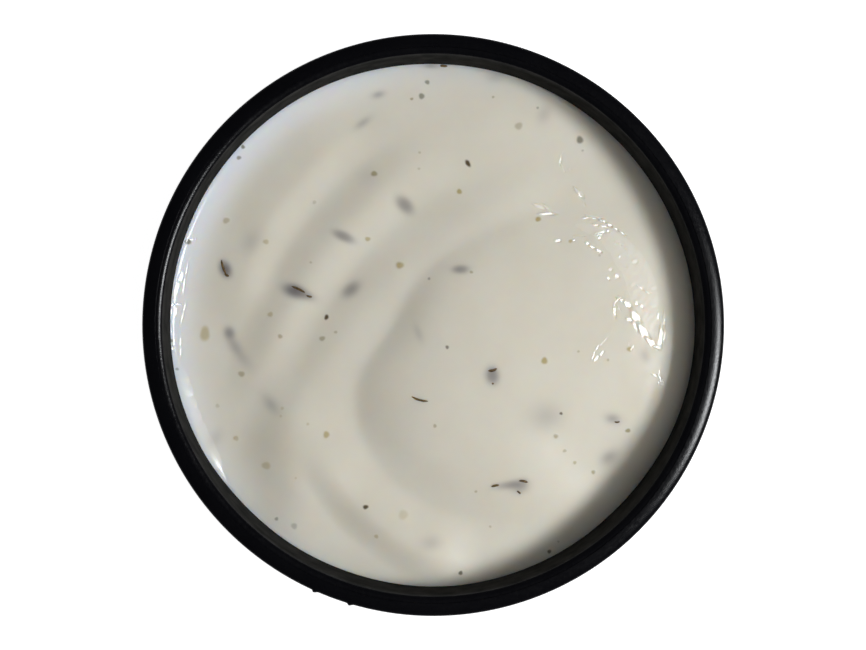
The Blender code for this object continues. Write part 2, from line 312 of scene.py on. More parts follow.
GRAINS = (
    Grain(-4.7, 8.4, 1.05, 1.0, 0.0, "yellow", 0.75),
    Grain(-8.3, 21.3, 0.85, 0.8, 0.0, "olive", 0.80),
    Grain(-32.15, -1.25, 2.0, 1.4, 80.0, "yellow", 0.60),
    Grain(-23.5, -19.8, 1.2, 1.1, 0.0, "yellow", 0.50),
    Grain(-15.0, -15.4, 0.9, 0.9, 0.0, "yellow", 0.80),
    Grain(12.1, 28.1, 1.1, 1.0, 0.0, "olive", 0.50),
    Grain(20.8, 26.2, 1.0, 1.0, 0.0, "grey", 0.80),
    Grain(3.7, 18.8, 0.75, 0.7, 0.0, "yellow", 0.90),
    Grain(14.8, 14.9, 0.8, 0.7, 0.0, "yellow", 0.85),
    Grain(15.5, -5.0, 0.95, 0.9, 0.0, "yellow", 0.85),
    Grain(27.6, -3.4, 0.8, 0.7, 0.0, "yellow", 0.75),
    Grain(-27.0, -6.9, 0.9, 0.8, 0.0, "olive", 0.55),
    Grain(-15.6, -1.9, 0.8, 0.7, 0.0, "olive", 0.65),
    Grain(4.9, 22.8, 1.2, 0.6, -55.0, "brown", 0.95),
    Grain(-15.0, 1.1, 0.75, 0.6, 60.0, "brown", 0.95),
    Grain(-9.5, -25.6, 0.8, 0.6, 0.0, "brown", 0.95),
    Grain(-1.6, 32.3, 0.85, 0.8, 0.0, "grey", 0.70),
    Grain(-21.5, -1.6, 0.65, 0.6, 0.0, "olive", 0.60),
    Grain(-0.8, 34.3, 0.7, 0.6, 0.0, "grey", 0.70),
    Grain(1.9, -3.1, 0.5, 0.5, 0.0, "brown", 0.70),
    Grain(0.2, -14.1, 0.5, 0.5, 0.0, "olive", 0.60),
    Grain(17.2, -15.6, 0.7, 0.6, 0.0, "olive", 0.60),
    Grain(27.5, -14.9, 0.7, 0.6, 0.0, "olive", 0.85),
    Grain(19.3, 11.8, 0.55, 0.5, 0.0, "yellow", 0.70),
    # most rows from here on were printed by a helper program from specks read off the photo
    Grain(-26.7, 25.0, 0.56, 0.51, 0.0, "grey", 0.90),
    Grain(-27.3, 23.5, 0.62, 0.56, 0.0, "grey", 0.75),
    Grain(-36.8, -2.2, 0.53, 0.48, 0.0, "grey", 0.80),
    Grain(-36.0, -6.2, 0.46, 0.42, 0.0, "grey", 0.60),
    Grain(-34.4, 11.7, 0.85, 0.77, 0.0, "grey", 0.85),
    Grain(8.5, 32.2, 0.40, 0.37, 0.0, "olive", 0.60),
    Grain(14.8, 30.7, 0.40, 0.37, 0.0, "grey", 0.50),
    Grain(5.3, 7.4, 0.46, 0.42, 0.0, "olive", 0.60),
    Grain(-0.6, 6.5, 0.40, 0.37, 0.0, "brown", 0.45),
    Grain(17.9, -12.4, 0.46, 0.42, 0.0, "brown", 0.80),
    Grain(18.5, -17.7, 0.53, 0.48, 0.0, "olive", 0.50),
    Grain(20.0, -19.4, 0.53, 0.48, 0.0, "olive", 0.60),
    Grain(22.7, -20.8, 0.62, 0.56, 0.0, "olive", 0.70),
    Grain(16.5, -32.1, 0.60, 0.54, 0.0, "grey", 0.90),
    Grain(17.8, -30.7, 0.37, 0.34, 0.0, "grey", 0.35),
    Grain(3.9, -35.0, 0.64, 0.58, 0.0, "grey", 0.95),
    Grain(6.0, -23.4, 0.40, 0.37, 0.0, "olive", 0.55),
    Grain(-22.1, -27.4, 0.56, 0.51, 0.0, "grey", 0.60),
    Grain(-3.0, 31.9, 0.46, 0.42, 0.0, "olive", 0.70),
    Grain(23.4, 9.8, 0.40, 0.37, 0.0, "olive", 0.35),
    Grain(20.3, -3.7, 0.37, 0.34, 0.0, "olive", 0.50),
    Grain(24.5, -4.9, 0.40, 0.37, 0.0, "olive", 0.50),
    Grain(-13.7, -1.0, 0.46, 0.42, 0.0, "olive", 0.50),
    Grain(-17.6, -13.9, 0.43, 0.39, 0.0, "yellow", 0.40),
    Grain(-21.4, -12.8, 0.40, 0.37, 0.0, "yellow", 0.30),
    Grain(-19.3, -21.5, 0.37, 0.34, 0.0, "yellow", 0.30),
    Grain(-21.5, -30.0, 0.46, 0.42, 0.0, "grey", 0.30),
    Grain(21.2, 24.7, 0.37, 0.34, 0.0, "grey", 0.35),
    Grain(-23.5, 11.7, 0.77, 0.70, 0.0, "yellow", 0.55),
    Grain(-9.2, 12.1, 0.71, 0.65, 0.0, "yellow", 0.70),
    Grain(-22.9, 1.5, 0.77, 0.70, 0.0, "yellow", 0.55),
    Grain(-29.1, 14.7, 0.93, 0.84, 0.0, "olive", 0.50),
    Grain(-16.7, 17.3, 0.56, 0.51, 0.0, "olive", 0.35),
    Grain(-30.4, -11.4, 0.62, 0.56, 0.0, "olive", 0.30),
    Grain(-27.8, -16.0, 0.77, 0.70, 0.0, "yellow", 0.50),
    Grain(-8.0, -29.8, 0.62, 0.56, 0.0, "yellow", 0.60),
    Grain(-19.6, -28.4, 0.93, 0.84, 0.0, "grey", 0.35),
    Grain(8.1, -28.5, 0.40, 0.37, 0.0, "olive", 0.45),
    Grain(-21.2, -11.7, 0.49, 0.45, 0.0, "yellow", 0.35),
    Grain(-4.2, -26.7, 1.39, 1.26, 0.0, "yellow", 0.30),
    Grain(-17.2, 8.8, 0.37, 0.34, 0.0, "olive", 0.40),
    Grain(-1.9, 24.3, 0.40, 0.37, 0.0, "olive", 0.40),
    Grain(-2.0, 22.0, 0.40, 0.37, 0.0, "olive", 0.35),
)

# Printed by a helper program from strokes read off the photo, but for six rows that were
# typed in; the lean of 20 rows was changed later
FACETS = (
    # a short curl at the top
    Facet(18.25, 24.17, 63.0, 1.04, 0.29, 0.70),
    Facet(18.03, 23.34, 87.0, 1.32, 0.32, 0.78),
    Facet(18.37, 22.18, -62.0, 1.40, 0.26, 0.54),
    Facet(19.35, 22.04, 0.0, 0.53, 0.42, 0.54),
    # a wedge under it
    Facet(20.60, 18.57, -54.0, 2.29, 0.36, 0.76),
    Facet(20.96, 18.43, -58.0, 1.35, 0.73, 0.55),
    Facet(21.33, 17.37, -70.0, 1.22, 0.29, 0.48),
    # a patch left of the wrinkled skin
    Facet(15.02, 16.67, -26.0, 2.24, 0.48, 0.60),
    Facet(16.03, 15.65, 0.0, 2.60, 0.39, 0.86),
    Facet(16.18, 16.43, -41.0, 1.87, 0.36, 0.52),
    # the arc along the upper edge of the wrinkled skin
    Facet(21.73, 15.11, 4.0, 1.41, 0.31, 0.95),
    Facet(22.87, 15.02, -11.0, 1.48, 0.24, 0.85),
    Facet(24.02, 14.64, -25.0, 1.57, 0.31, 0.90),
    Facet(24.98, 14.10, -32.0, 1.32, 0.42, 1.00),
    Facet(25.81, 13.56, -33.0, 1.29, 0.29, 0.90),
    Facet(26.68, 12.99, -32.0, 1.37, 0.24, 0.80),
    Facet(22.67, 15.28, -10.0, 2.41, 0.19, 0.55),
    # a streak under the arc
    Facet(23.08, 14.08, -12.0, 1.27, 0.31, 1.00),
    Facet(24.10, 13.91, -9.0, 1.39, 0.34, 1.00),
    # a three-cornered glint
    Facet(23.50, 12.97, 12.0, 1.72, 0.55, 1.00),
    Facet(23.45, 12.58, 4.0, 0.97, 0.71, 1.00),
    Facet(23.45, 12.30, -9.0, 0.46, 0.65, 1.00),
    Facet(24.69, 13.24, -35.0, 0.55, 0.48, 0.90),
    # dots by a grain
    Facet(17.50, 11.84, 2.0, 1.02, 0.48, 1.00),
    Facet(19.82, 11.88, 45.0, 0.60, 0.36, 0.90),
    Facet(20.57, 12.53, -2.0, 1.67, 0.23, 0.50),
    # a streak that slants down
    Facet(21.76, 11.44, -44.0, 0.96, 0.52, 1.00),
    Facet(22.47, 10.94, -30.0, 1.34, 0.39, 0.95),
    Facet(23.31, 10.45, -31.0, 1.10, 0.45, 0.95),
    Facet(22.08, 10.73, -28.0, 0.79, 0.26, 0.60),
    # faint dots between
    Facet(25.76, 11.61, -68.0, 0.65, 0.29, 0.51),
    Facet(26.35, 11.43, -63.0, 0.71, 0.29, 0.51),
    Facet(26.84, 11.01, -66.0, 0.69, 0.36, 0.51),
    Facet(26.28, 9.63, -76.0, 0.58, 0.39, 0.72),
    Facet(28.44, 8.93, 9.0, 0.92, 0.81, 0.55),
    Facet(24.91, 7.81, -30.0, 0.69, 0.65, 0.64),
    Facet(27.06, 8.19, -11.0, 0.54, 0.36, 0.42),
    Facet(24.58, 6.58, -60.0, 0.77, 0.42, 0.81),
    Facet(25.83, 6.88, -42.0, 0.85, 0.58, 0.77),
    Facet(25.63, 6.57, -56.0, 0.51, 0.36, 0.59),
    # a loop in the middle
    Facet(25.45, 2.00, -84.0, 2.20, 0.42, 0.95),
    Facet(26.75, 3.35, -28.0, 2.30, 0.62, 1.00),
    Facet(25.45, 2.96, 80.0, 1.03, 0.26, 0.85),
    Facet(25.95, 3.59, 30.0, 1.26, 0.29, 0.90),
    Facet(27.29, 2.91, -44.0, 1.56, 0.74, 1.00),
    Facet(26.09, 2.34, -54.0, 0.91, 0.19, 0.50),
    # two dots beside it
    Facet(28.56, 3.09, -68.0, 0.83, 0.45, 0.95),
    Facet(29.34, 2.64, -61.0, 0.88, 0.36, 0.80),
    # a faint line
    Facet(29.21, 5.18, -37.0, 1.45, 0.26, 0.50),
    Facet(30.14, 4.62, -24.0, 1.27, 0.26, 0.50),
    # the broad arm of the fork
    Facet(28.55, 0.75, -66.0, 3.20, 1.25, 1.00),
    Facet(29.65, -1.10, -58.0, 3.40, 1.05, 1.00),
    Facet(30.75, -2.60, -44.0, 2.60, 0.75, 1.00),
    Facet(28.34, -0.11, -65.0, 2.09, 0.45, 1.00),
    Facet(27.57, 0.79, -23.0, 1.07, 0.58, 0.95),
    # its narrow arm, along the edge of the skin
    Facet(32.05, -1.70, 88.0, 3.40, 0.62, 1.00),
    Facet(31.54, -3.16, -14.0, 1.34, 0.39, 0.95),
    Facet(32.55, 0.49, -87.0, 2.99, 0.23, 0.70),
    Facet(32.57, -1.59, 86.0, 2.22, 0.23, 0.70),
    Facet(31.68, 1.26, -85.0, 1.20, 0.36, 0.60),
    # two long streaks below
    Facet(22.92, -3.29, 59.0, 1.15, 0.31, 1.00),
    Facet(22.44, -4.23, 67.0, 1.56, 0.24, 0.90),
    Facet(23.52, -4.10, 43.0, 1.24, 0.45, 1.00),
    Facet(22.85, -4.70, 44.0, 1.17, 0.48, 1.00),
    Facet(24.76, -1.33, 54.0, 1.78, 0.16, 0.45),
    Facet(23.88, -2.33, 42.0, 1.57, 0.16, 0.50),
    # the edge of a grain
    Facet(28.00, -3.14, 57.0, 0.84, 0.32, 0.95),
    Facet(27.48, -2.71, -65.0, 0.50, 0.23, 0.70),
    # a small forked wrinkle
    Facet(31.23, -7.05, -18.0, 1.14, 0.27, 0.95),
    Facet(31.79, -6.82, 69.0, 0.98, 0.24, 0.80),
    Facet(31.97, -7.44, -39.0, 1.01, 0.24, 0.95),
    Facet(32.42, -7.97, -62.0, 0.87, 0.26, 0.95),
    Facet(32.30, -8.37, 13.0, 0.61, 0.29, 0.90),
    Facet(31.77, -8.09, 57.0, 0.58, 0.26, 0.80),
    Facet(32.13, -7.91, -2.0, 0.67, 0.23, 0.70),
    # the wedge by the wall
    Facet(-34.73, 7.51, 77.0, 2.70, 0.36, 1.00),
    Facet(-35.06, 5.59, 83.0, 2.69, 0.42, 1.00),
    Facet(-35.49, 6.53, 69.0, 2.07, 0.71, 1.00),
    Facet(-36.02, 5.08, 72.0, 2.14, 0.68, 1.00),
    # the swirl by the wall
    Facet(-36.69, 2.81, 28.0, 0.91, 0.29, 1.00),
    Facet(-35.92, 2.92, -7.0, 1.13, 0.26, 1.00),
    Facet(-35.02, 2.36, 78.0, 1.72, 0.39, 1.00),
    Facet(-35.32, 1.05, 76.0, 1.85, 0.36, 0.95),
    Facet(-36.86, 1.54, 87.0, 1.76, 0.68, 1.00),
    Facet(-36.34, 1.56, 69.0, 1.77, 0.58, 0.90),
    # streaks and crumbs by the wall
    Facet(-36.72, -3.33, 41.0, 0.70, 0.52, 1.00),
    Facet(-35.57, -2.43, 89.0, 1.65, 0.39, 0.95),
    Facet(-35.56, -3.78, -87.0, 1.51, 0.36, 0.90),
    Facet(-36.86, -0.84, -87.0, 2.11, 0.48, 0.80),
    # beside a grain by the wall
    Facet(-33.84, 11.99, 7.0, 1.13, 0.32, 0.85),
    Facet(-33.45, 12.02, 85.0, 0.85, 0.29, 0.80),
)

GRAIN_COLOURS = {
    "yellow": (0.52, 0.43, 0.20),
    "olive": (0.40, 0.34, 0.17),
    "grey": (0.22, 0.21, 0.15),
    "brown": (0.11, 0.075, 0.03),
}
HUSK_UNDER = (0.20, 0.18, 0.19)
# A pale bluish tint painted on the mayonnaise's left edge, the side the window lights: a painted
# sheen, strongest towards this direction and fading inwards over this width
PAINTED_EDGE_SHEEN_COLOUR = (0.93, 0.925, 0.93)
PAINTED_EDGE_SHEEN_WIDTH = 3.2
PAINTED_EDGE_SHEEN_TOWARDS = 150.0

# Camera
CAMERA_ABOVE_RIM = 260.0 * MM
CAMERA_TILT = 1.5  # degrees, towards -X
AIM_X = -0.2 * MM
SENSOR = 36.0
VIEW_WIDTH = 118.7 * MM  # what the picture's width takes in at the height of the rim

# Light
WINDOW_AZIMUTH = -12.0
WINDOW_ELEVATION = 50.0
WINDOW_DISTANCE = 400.0 * MM
WINDOW_WIDTH = 120.0 * MM
WINDOW_HEIGHT = 100.0 * MM
WINDOW_POWER = 1.15
WINDOW_COLOUR = (0.96, 0.98, 1.0)
FILL_ELEVATION = 71.0
FILL_WIDTH = 520.0 * MM
FILL_HEIGHT = 250.0 * MM
FILL_POWER = 0.46
AMBIENT = 0.038
HORIZON_LOW = 0.12
HORIZON_HIGH = 0.16
FLOOR_HALF = 4.0
HORIZON_GLOW = 0.9


# ---------------------------------------------------------------- relief of the mayonnaise


def ease(t):
    """0 below 0, 1 above 1, and a smooth step between."""
    t = np.clip(t, 0.0, 1.0)
    return t * t * (3.0 - 2.0 * t)


def degrees_from(angle, middle):
    """An angle in radians as degrees away from the middle direction, -180 to 180."""
    return (np.degrees(angle) - middle + 180.0) % 360.0 - 180.0


def above_zero(t, bend):
    """t where it is well above 0, 0 where it is well below, with a soft bend between."""
    return 0.5 * (t + np.sqrt(t * t + bend * bend))


def crown(x, y):
    """The whole surface is a little higher in the middle than at its edge."""
    return -CROWN_DROP * ((x - CROWN_AT[0]) ** 2 + (y - CROWN_AT[1]) ** 2) / EDGE_R**2


def mound(x, y):
    """The last spoonful: steep on its rounded side, thinning away on the other."""
    dx, dy = x - MOUND_AT[0], y - MOUND_AT[1]
    angle = np.arctan2(dy, dx)
    flat = np.exp(-((degrees_from(angle, MOUND_FLAT_TOWARDS) / MOUND_FLAT_SPREAD) ** 2))
    towards = np.cos(np.radians(degrees_from(angle, MOUND_REACH_TOWARDS)))
    reaching = (0.5 + 0.5 * towards) ** MOUND_REACH_NARROWNESS
    outline = MOUND_R - MOUND_FLAT_DEPTH * flat + MOUND_REACH * reaching
    power = MOUND_POWER + (MOUND_POWER_REACHING - MOUND_POWER) * reaching
    share = np.hypot(dx, dy) / outline
    return MOUND_H * above_zero(1.0 - share**power, MOUND_TOE)


def fold(x, y, shape):
    """One fold: it rises over its front and falls back over its longer inner side."""
    dx, dy = x - shape.centre[0], y - shape.centre[1]
    outside = np.hypot(dx, dy) - shape.radius
    along = np.abs(degrees_from(np.arctan2(dy, dx), shape.middle)) / shape.spread
    present = 1.0 - ease((along - FOLD_FADE) / (1.0 - FOLD_FADE))
    rise = 1.0 - ease(outside / shape.front + 0.5)
    stay = 1.0 - ease((-shape.front / 2 - outside) / shape.back)
    return shape.height * rise * stay * present


def hump(x, y, shape):
    """A rounded lump."""
    across = ((x - shape.x) / shape.radius_x) ** 2 + ((y - shape.y) / shape.radius_y) ** 2
    return shape.height * np.exp(-across)


def cling(x, y):
    """The surface curls up the wall, most on one side."""
    towards = np.cos(np.radians(degrees_from(np.arctan2(y, x), CLING_TOWARDS)))
    climb = CLING_LOW + CLING_HIGH * (0.5 + 0.5 * towards) ** 4
    return climb * np.exp(np.minimum(np.hypot(x, y) - WALL_AT, 0.0) / CLING_WIDTH)


def bank(x, y):
    """The surface leans up towards the wall in a wide soft bank on one side."""
    towards = np.cos(np.radians(degrees_from(np.arctan2(y, x), BANK_TOWARDS)))
    slope = BANK_SLOPE * (0.5 + 0.5 * towards) ** BANK_NARROWNESS
    inwards = EDGE_R - np.hypot(x, y) - BANK_FLAT
    foot = BANK_WIDTH * np.exp(-np.maximum(inwards, 0.0) / BANK_WIDTH)
    return slope * (foot + np.maximum(-inwards, 0.0))


def oval(x, y, shape):
    """Distance from a shape's middle as a share of its half length and half width."""
    cos, sin = np.cos(np.radians(shape.turn)), np.sin(np.radians(shape.turn))
    dx, dy = x - shape.x, y - shape.y
    along = (dx * cos + dy * sin) / (shape.length / 2)
    across = (dy * cos - dx * sin) / (shape.width / 2)
    return np.hypot(along, across)


def uneven(x, y, shape):
    """As oval, for a shape whose outline is lumpy in its own way."""
    turn = np.arctan2(y - shape.y, x - shape.x)
    lumps = 0.07 * np.sin(2 * turn + 7.0 * shape.x) + 0.06 * np.sin(3 * turn + 5.0 * shape.y)
    return oval(x, y, shape) * (1.0 + lumps)


def grain_bump(x, y, shape):
    """The surface bulges over a grain that lies just under it."""
    return GRAIN_BUMP * shape.width * np.exp(-((oval(x, y, shape) / GRAIN_BUMP_SPREAD) ** 2))


def band_reach(x, y):
    """How far a point is inside the band along the wall, and how far the band is present."""
    turn = np.degrees(np.arctan2(y, x)) % 360.0
    present = ease((turn - BAND_FROM) / BAND_FADE) * ease((BAND_TO - turn) / BAND_FADE)
    along = np.radians(turn) * WALL_AT / SCALLOP_LENGTH
    scallops = SCALLOP_DEPTH * np.abs(np.sin(np.pi * along + 0.8 * np.sin(0.9 * along)))
    reach = BAND_WIDTH * present - (WALL_AT - np.hypot(x, y))
    return reach + scallops * present * np.exp(-np.maximum(reach, 0.0) / 0.4), present


def band(x, y):
    """Mayonnaise drawn up the wall on one side, in a band with a scalloped inner edge."""
    reach, present = band_reach(x, y)
    return BAND_SLOPE * above_zero(reach, BAND_CREASE) * (present > 0.0)


def wrinkled(x, y):
    """1 on the part of the skin that is finely wrinkled, 0 away from it."""
    outer = WRINKLED_OUTER[2] - np.hypot(x - WRINKLED_OUTER[0], y - WRINKLED_OUTER[1])
    inner = np.hypot(x - WRINKLED_INNER[0], y - WRINKLED_INNER[1]) - WRINKLED_INNER[2]
    turn = np.radians(WRINKLED_ABOVE[2])
    above = (x - WRINKLED_ABOVE[0]) * np.cos(turn) + (y - WRINKLED_ABOVE[1]) * np.sin(turn)
    outer_fade, inner_fade, line_fade = WRINKLED_FADES
    return ease(outer / outer_fade) * ease(inner / inner_fade + 0.2) * ease(above / line_fade + 0.8)


def ripples(x, y):
    """Fine wrinkles: waves of several lengths in several directions."""
    height = 0.0
    for length, turn, start in RIPPLES:
        along = x * np.cos(np.radians(turn)) + y * np.sin(np.radians(turn))
        along = along + RIPPLE_WANDER * np.sin(2.3 * x + start)
        along = along + RIPPLE_WANDER * np.sin(2.7 * y - start)
        height = height + length * np.sin(2 * np.pi * along / length + start)
    return RIPPLE_SLOPE / (2 * np.pi) * height * wrinkled(x, y)


def base_relief(x, y):
    """Height of the surface over the level, in mm, without the facets."""
    height = crown(x, y) + mound(x, y) + cling(x, y) + bank(x, y) + band(x, y) + ripples(x, y)
    for shape in FOLDS:
        height = height + fold(x, y, shape)
    for shape in HUMPS:
        height = height + hump(x, y, shape)
    for shape in GRAINS:
        height = height + grain_bump(x, y, shape)
    return height


def relief(x, y):
    """Height of the surface over the level, in mm, at points in mm from the axis."""
    x, y = np.atleast_1d(x), np.atleast_1d(y)
    height = base_relief(x, y)
    for shape in FACETS:
        away = oval(x, y, shape)
        near = away < FACET_FLAT + FACET_BLEND
        if not near.any():
            continue
        lean_x = WINDOW_LEAN_X[0] + WINDOW_LEAN_X[1] * shape.x
        lean_y = WINDOW_LEAN_Y[0] + WINDOW_LEAN_Y[1] * shape.y
        flat = base_relief(np.array([shape.x]), np.array([shape.y]))
        flat = flat + lean_x * (x[near] - shape.x) + lean_y * (y[near] - shape.y)
        share = shape.lean * (1.0 - ease((away[near] - FACET_FLAT) / FACET_BLEND))
        height[near] += share * (flat - height[near])
    return height


def surface(x, y):
    """Height of the mayonnaise over the table at points given in metres from the axis."""
    return LEVEL + relief(x / MM, y / MM) * MM


# ---------------------------------------------------------------- profiles


def arc(centre_r, centre_z, half_r, half_z, first, last):
    """Points (r, z) on an oval's arc, the angles in degrees from straight out."""
    angles = np.radians(np.linspace(first, last, ROUND_STEPS + 1))
    return [(centre_r + half_r * np.cos(a), centre_z + half_z * np.sin(a)) for a in angles]


def bulge(inner_r, outer_r, low_z, high_z, squareness, steps):
    """Points (r, z) of a full rounded corner, from its upright top to its level bottom."""
    points = []
    for angle in np.linspace(0.0, np.pi / 2, steps + 1):
        across = max(np.cos(angle), 0.0) ** (2 / squareness)
        down = np.sin(angle) ** (2 / squareness)
        points.append((inner_r + (outer_r - inner_r) * across, high_z - (high_z - low_z) * down))
    return points


def hollow_profile(rim_r, bowl_h):
    """The bowl's inner wall, from under the rim's inner round down to the edge of the floor."""
    top_r = rim_r - RIM_WIDTH
    top_z = bowl_h - RIM_FALL - RIM_INNER_DROP
    wall = bulge(FLOOR_R, top_r, FLOOR_Z, top_z, INNER_SQUARENESS, WALL_STEPS)
    return [(r - WALL_DRAFT * (top_z - z), z) for r, z in wall]


def foot_profile():
    """The underside, from the axis out over the foot ring."""
    inner_r = FOOT_R - FOOT_WIDTH
    return [
        (0.0, RECESS_H),
        (inner_r - RECESS_H + FOOT_CHAMFER, RECESS_H),
        (inner_r, 0.0),
        (FOOT_R - FOOT_CHAMFER, 0.0),
        (FOOT_R, FOOT_CHAMFER),
    ]


def bowl_profile(rim_r, bowl_h):
    """The whole section of the bowl's wall, from the axis underneath to the axis inside."""
    band_top = bowl_h - RIM_OUTER_DROP
    side = bulge(FOOT_R, rim_r, FOOT_H, band_top - RIM_BAND, OUTER_SQUARENESS, WALL_STEPS)
    crest_r = rim_r - RIM_OUTER_ROUND
    outer_round = arc(crest_r, band_top, RIM_OUTER_ROUND, RIM_OUTER_DROP, 0, 90)
    lip_r = rim_r - RIM_WIDTH + RIM_INNER_ROUND
    lip_z = bowl_h - RIM_FALL - RIM_INNER_DROP
    inner_round = arc(lip_r, lip_z, RIM_INNER_ROUND, RIM_INNER_DROP, 90, 180)
    inside = hollow_profile(rim_r, bowl_h)[1:]
    return foot_profile() + side[::-1] + outer_round + inner_round + inside + [(0.0, FLOOR_Z)]


def wall_radius(profile, z):
    """Radius of the inner wall at a height."""
    heights = [point[1] for point in profile][::-1]
    radii = [point[0] for point in profile][::-1]
    return np.interp(z, heights, radii)


# ---------------------------------------------------------------- meshes


def evenly(count):
    """Angles all round, counter-clockwise from +X."""
    return np.linspace(0.0, 2 * np.pi, count, endpoint=False)


def ring_of(mesh, radius, height, angles):
    """A closed ring of vertices; the radius may be one number or one for each angle."""
    radii = np.broadcast_to(radius, len(angles))
    return [mesh.verts.new((r * np.cos(a), r * np.sin(a), height)) for r, a in zip(radii, angles)]


def stitch(mesh, upper, lower):
    """Triangles between two closed rings of any counts, facing up and out."""
    a = b = 0
    while a < len(upper) or b < len(lower):
        first, second = upper[a % len(upper)], lower[b % len(lower)]
        step_upper = a < len(upper) and (a + 1) * len(lower) < (b + 1) * len(upper)
        if b == len(lower) or step_upper:
            a += 1
            third = upper[a % len(upper)]
        else:
            b += 1
            third = lower[b % len(lower)]
        if third not in (first, second):
            mesh.faces.new((first, second, third))


def finished(name, mesh, material, sharp_angle=None):
    """The mesh as a smooth-shaded object of the scene, which moves with the root body."""
    data = bpy.data.meshes.new(name)
    mesh.to_mesh(data)
    mesh.free()
    data.materials.append(material)
    data.shade_smooth()
    if sharp_angle:
        data.set_sharp_from_angle(angle=np.radians(sharp_angle))
    item = bpy.data.objects.new(name, data)
    bpy.context.scene.collection.objects.link(item)
    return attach(item, "root")


def nub(rim_r, angles):
    """How far two small nubs of flash stand out of the rim's edge, at each angle."""
    height = np.zeros(len(angles))
    for towards in NUBS_TOWARDS:
        along = np.radians(degrees_from(angles, towards)) * rim_r / NUB_LENGTH
        height += NUB_HEIGHT * ease((along + 0.35) / 0.35) * (1.0 - ease(along / 0.65))
    return height


def turned(name, profile, rim_r, material):
    """The bowl: a profile, which starts and ends on the axis, turned about Z, with its nubs."""
    mesh = bmesh.new()
    near = [np.radians(towards) + np.linspace(-0.02, 0.03, 24) for towards in NUBS_TOWARDS]
    angles = np.unique(np.concatenate([evenly(BOWL_SEGMENTS), np.concatenate(near) % (2 * np.pi)]))
    nubs = nub(rim_r, angles)
    top = max(z for r, z in profile)
    rings = []
    for r, z in profile:
        at_edge = ease((r - rim_r + NUB_INWARDS) / NUB_INWARDS)
        out = r + nubs * (at_edge * ease((z - top + NUB_DOWN) / NUB_FADE))
        rings.append(ring_of(mesh, out if r > 0 else 0.0, z, angles if r > 0 else evenly(1)))
    for lower, upper in zip(rings, rings[1:]):
        stitch(mesh, upper, lower)
    return finished(name, mesh, material, sharp_angle=40)


def wanted_detail(x, y):
    """How many times the mesh is split at a point in mm: more where small things lie."""
    wanted = np.zeros(len(x), int)
    wanted[wrinkled(x, y) > 0.0] = 1
    inwards = WALL_AT - np.hypot(x, y)
    wanted[(inwards > FINE_BY_WALL[0]) & (inwards < FINE_BY_WALL[1])] = 1
    reach, present = band_reach(x, y)
    wanted[(np.abs(reach) < FINE_BY_BAND) & (present > 0.1)] = 2
    for shape in PATCHES:
        wanted[oval(x, y, shape) < FINE_ROUND_PATCH] = 1
    for shape in SLIVERS:
        middle = (np.array(shape.start) + np.array(shape.end)) / 2
        reach = np.hypot(*(np.array(shape.end) - np.array(shape.start))) / 2 + FINE_PAST_SLIVER
        wanted[np.hypot(x - middle[0], y - middle[1]) < reach] = 2
    for shape in GRAINS:
        wanted[oval(x, y, shape) < FINE_ROUND_GRAIN] = 2
    for shape in FACETS:
        wanted[oval(x, y, shape) < 1.0 + FINE_PAST_FACET / shape.width] = 2
        wanted[oval(x, y, shape) < FINE_ROUND_FACET] = 3 if shape.width < THIN_FACET else 2
    return wanted


def split_where_wanted(mesh, levels):
    """Halves the edges of the faces that want more detail, once for each level."""
    for level in range(1, levels + 1):
        faces = list(mesh.faces)
        middles = np.array([face.calc_center_median()[:2] for face in faces]) / MM
        chosen = wanted_detail(middles[:, 0], middles[:, 1]) >= level
        edges = {edge for face, take in zip(faces, chosen) if take for edge in face.edges}
        bmesh.ops.subdivide_edges(mesh, edges=list(edges), cuts=1, use_grid_fill=True)
        wide = [face for face in mesh.faces if len(face.verts) > 3]
        bmesh.ops.triangulate(mesh, faces=wide)


def sauce_top(mesh, edge_r):
    """The top of the mayonnaise as a disc of even triangles, finer where small things lie."""
    count = int(np.ceil(edge_r / SPACING))
    rings = [ring_of(mesh, 0.0, 0.0, evenly(1))]
    for k in range(1, count + 1):
        rings.append(ring_of(mesh, edge_r * k / count, 0.0, evenly(6 * k)))
    for inner, outer in zip(rings, rings[1:]):
        stitch(mesh, inner, outer)
    split_where_wanted(mesh, 3)


def set_heights(mesh):
    """Lifts the flat disc to the relief."""
    places = np.array([vertex.co[:2] for vertex in mesh.verts])
    heights = surface(places[:, 0], places[:, 1])
    for vertex, height in zip(mesh.verts, heights):
        vertex.co.z = height


def close_below(mesh, profile):
    """Closes the disc down along the wall and over the bowl's floor."""
    border = [edge for edge in mesh.edges if edge.is_boundary]
    for edge in border:
        edge.smooth = False
    rim = sorted({v for e in border for v in e.verts}, key=lambda v: np.arctan2(v.co.y, v.co.x))
    rim = rim[[v.co.x > 0 and abs(v.co.y) < 1e-9 for v in rim].index(True):] + rim
    rim = list(dict.fromkeys(rim))
    low = min(v.co.z for v in rim) - 1.0 * MM
    inside = [(r - GAP, z) for r, z in profile if z < low]
    rings = [rim]
    for r, z in inside[:: max(1, len(inside) // SIDE_RINGS)]:
        rings.append(ring_of(mesh, r, z, evenly(90)))
    rings.append(ring_of(mesh, 0.0, FLOOR_Z + GAP, evenly(1)))
    for upper, lower in zip(rings, rings[1:]):
        stitch(mesh, upper, lower)


def lay_over(colour, amount, tone):
    """Lays an amount of a tone over colours that each carry their own amount."""
    rest = colour[:, 3] * (1.0 - amount)
    total = np.maximum(amount + rest, 1e-6)
    colour[:, :3] = (colour[:, :3] * rest[:, None] + np.outer(amount, tone)) / total[:, None]
    colour[:, 3] = amount + rest


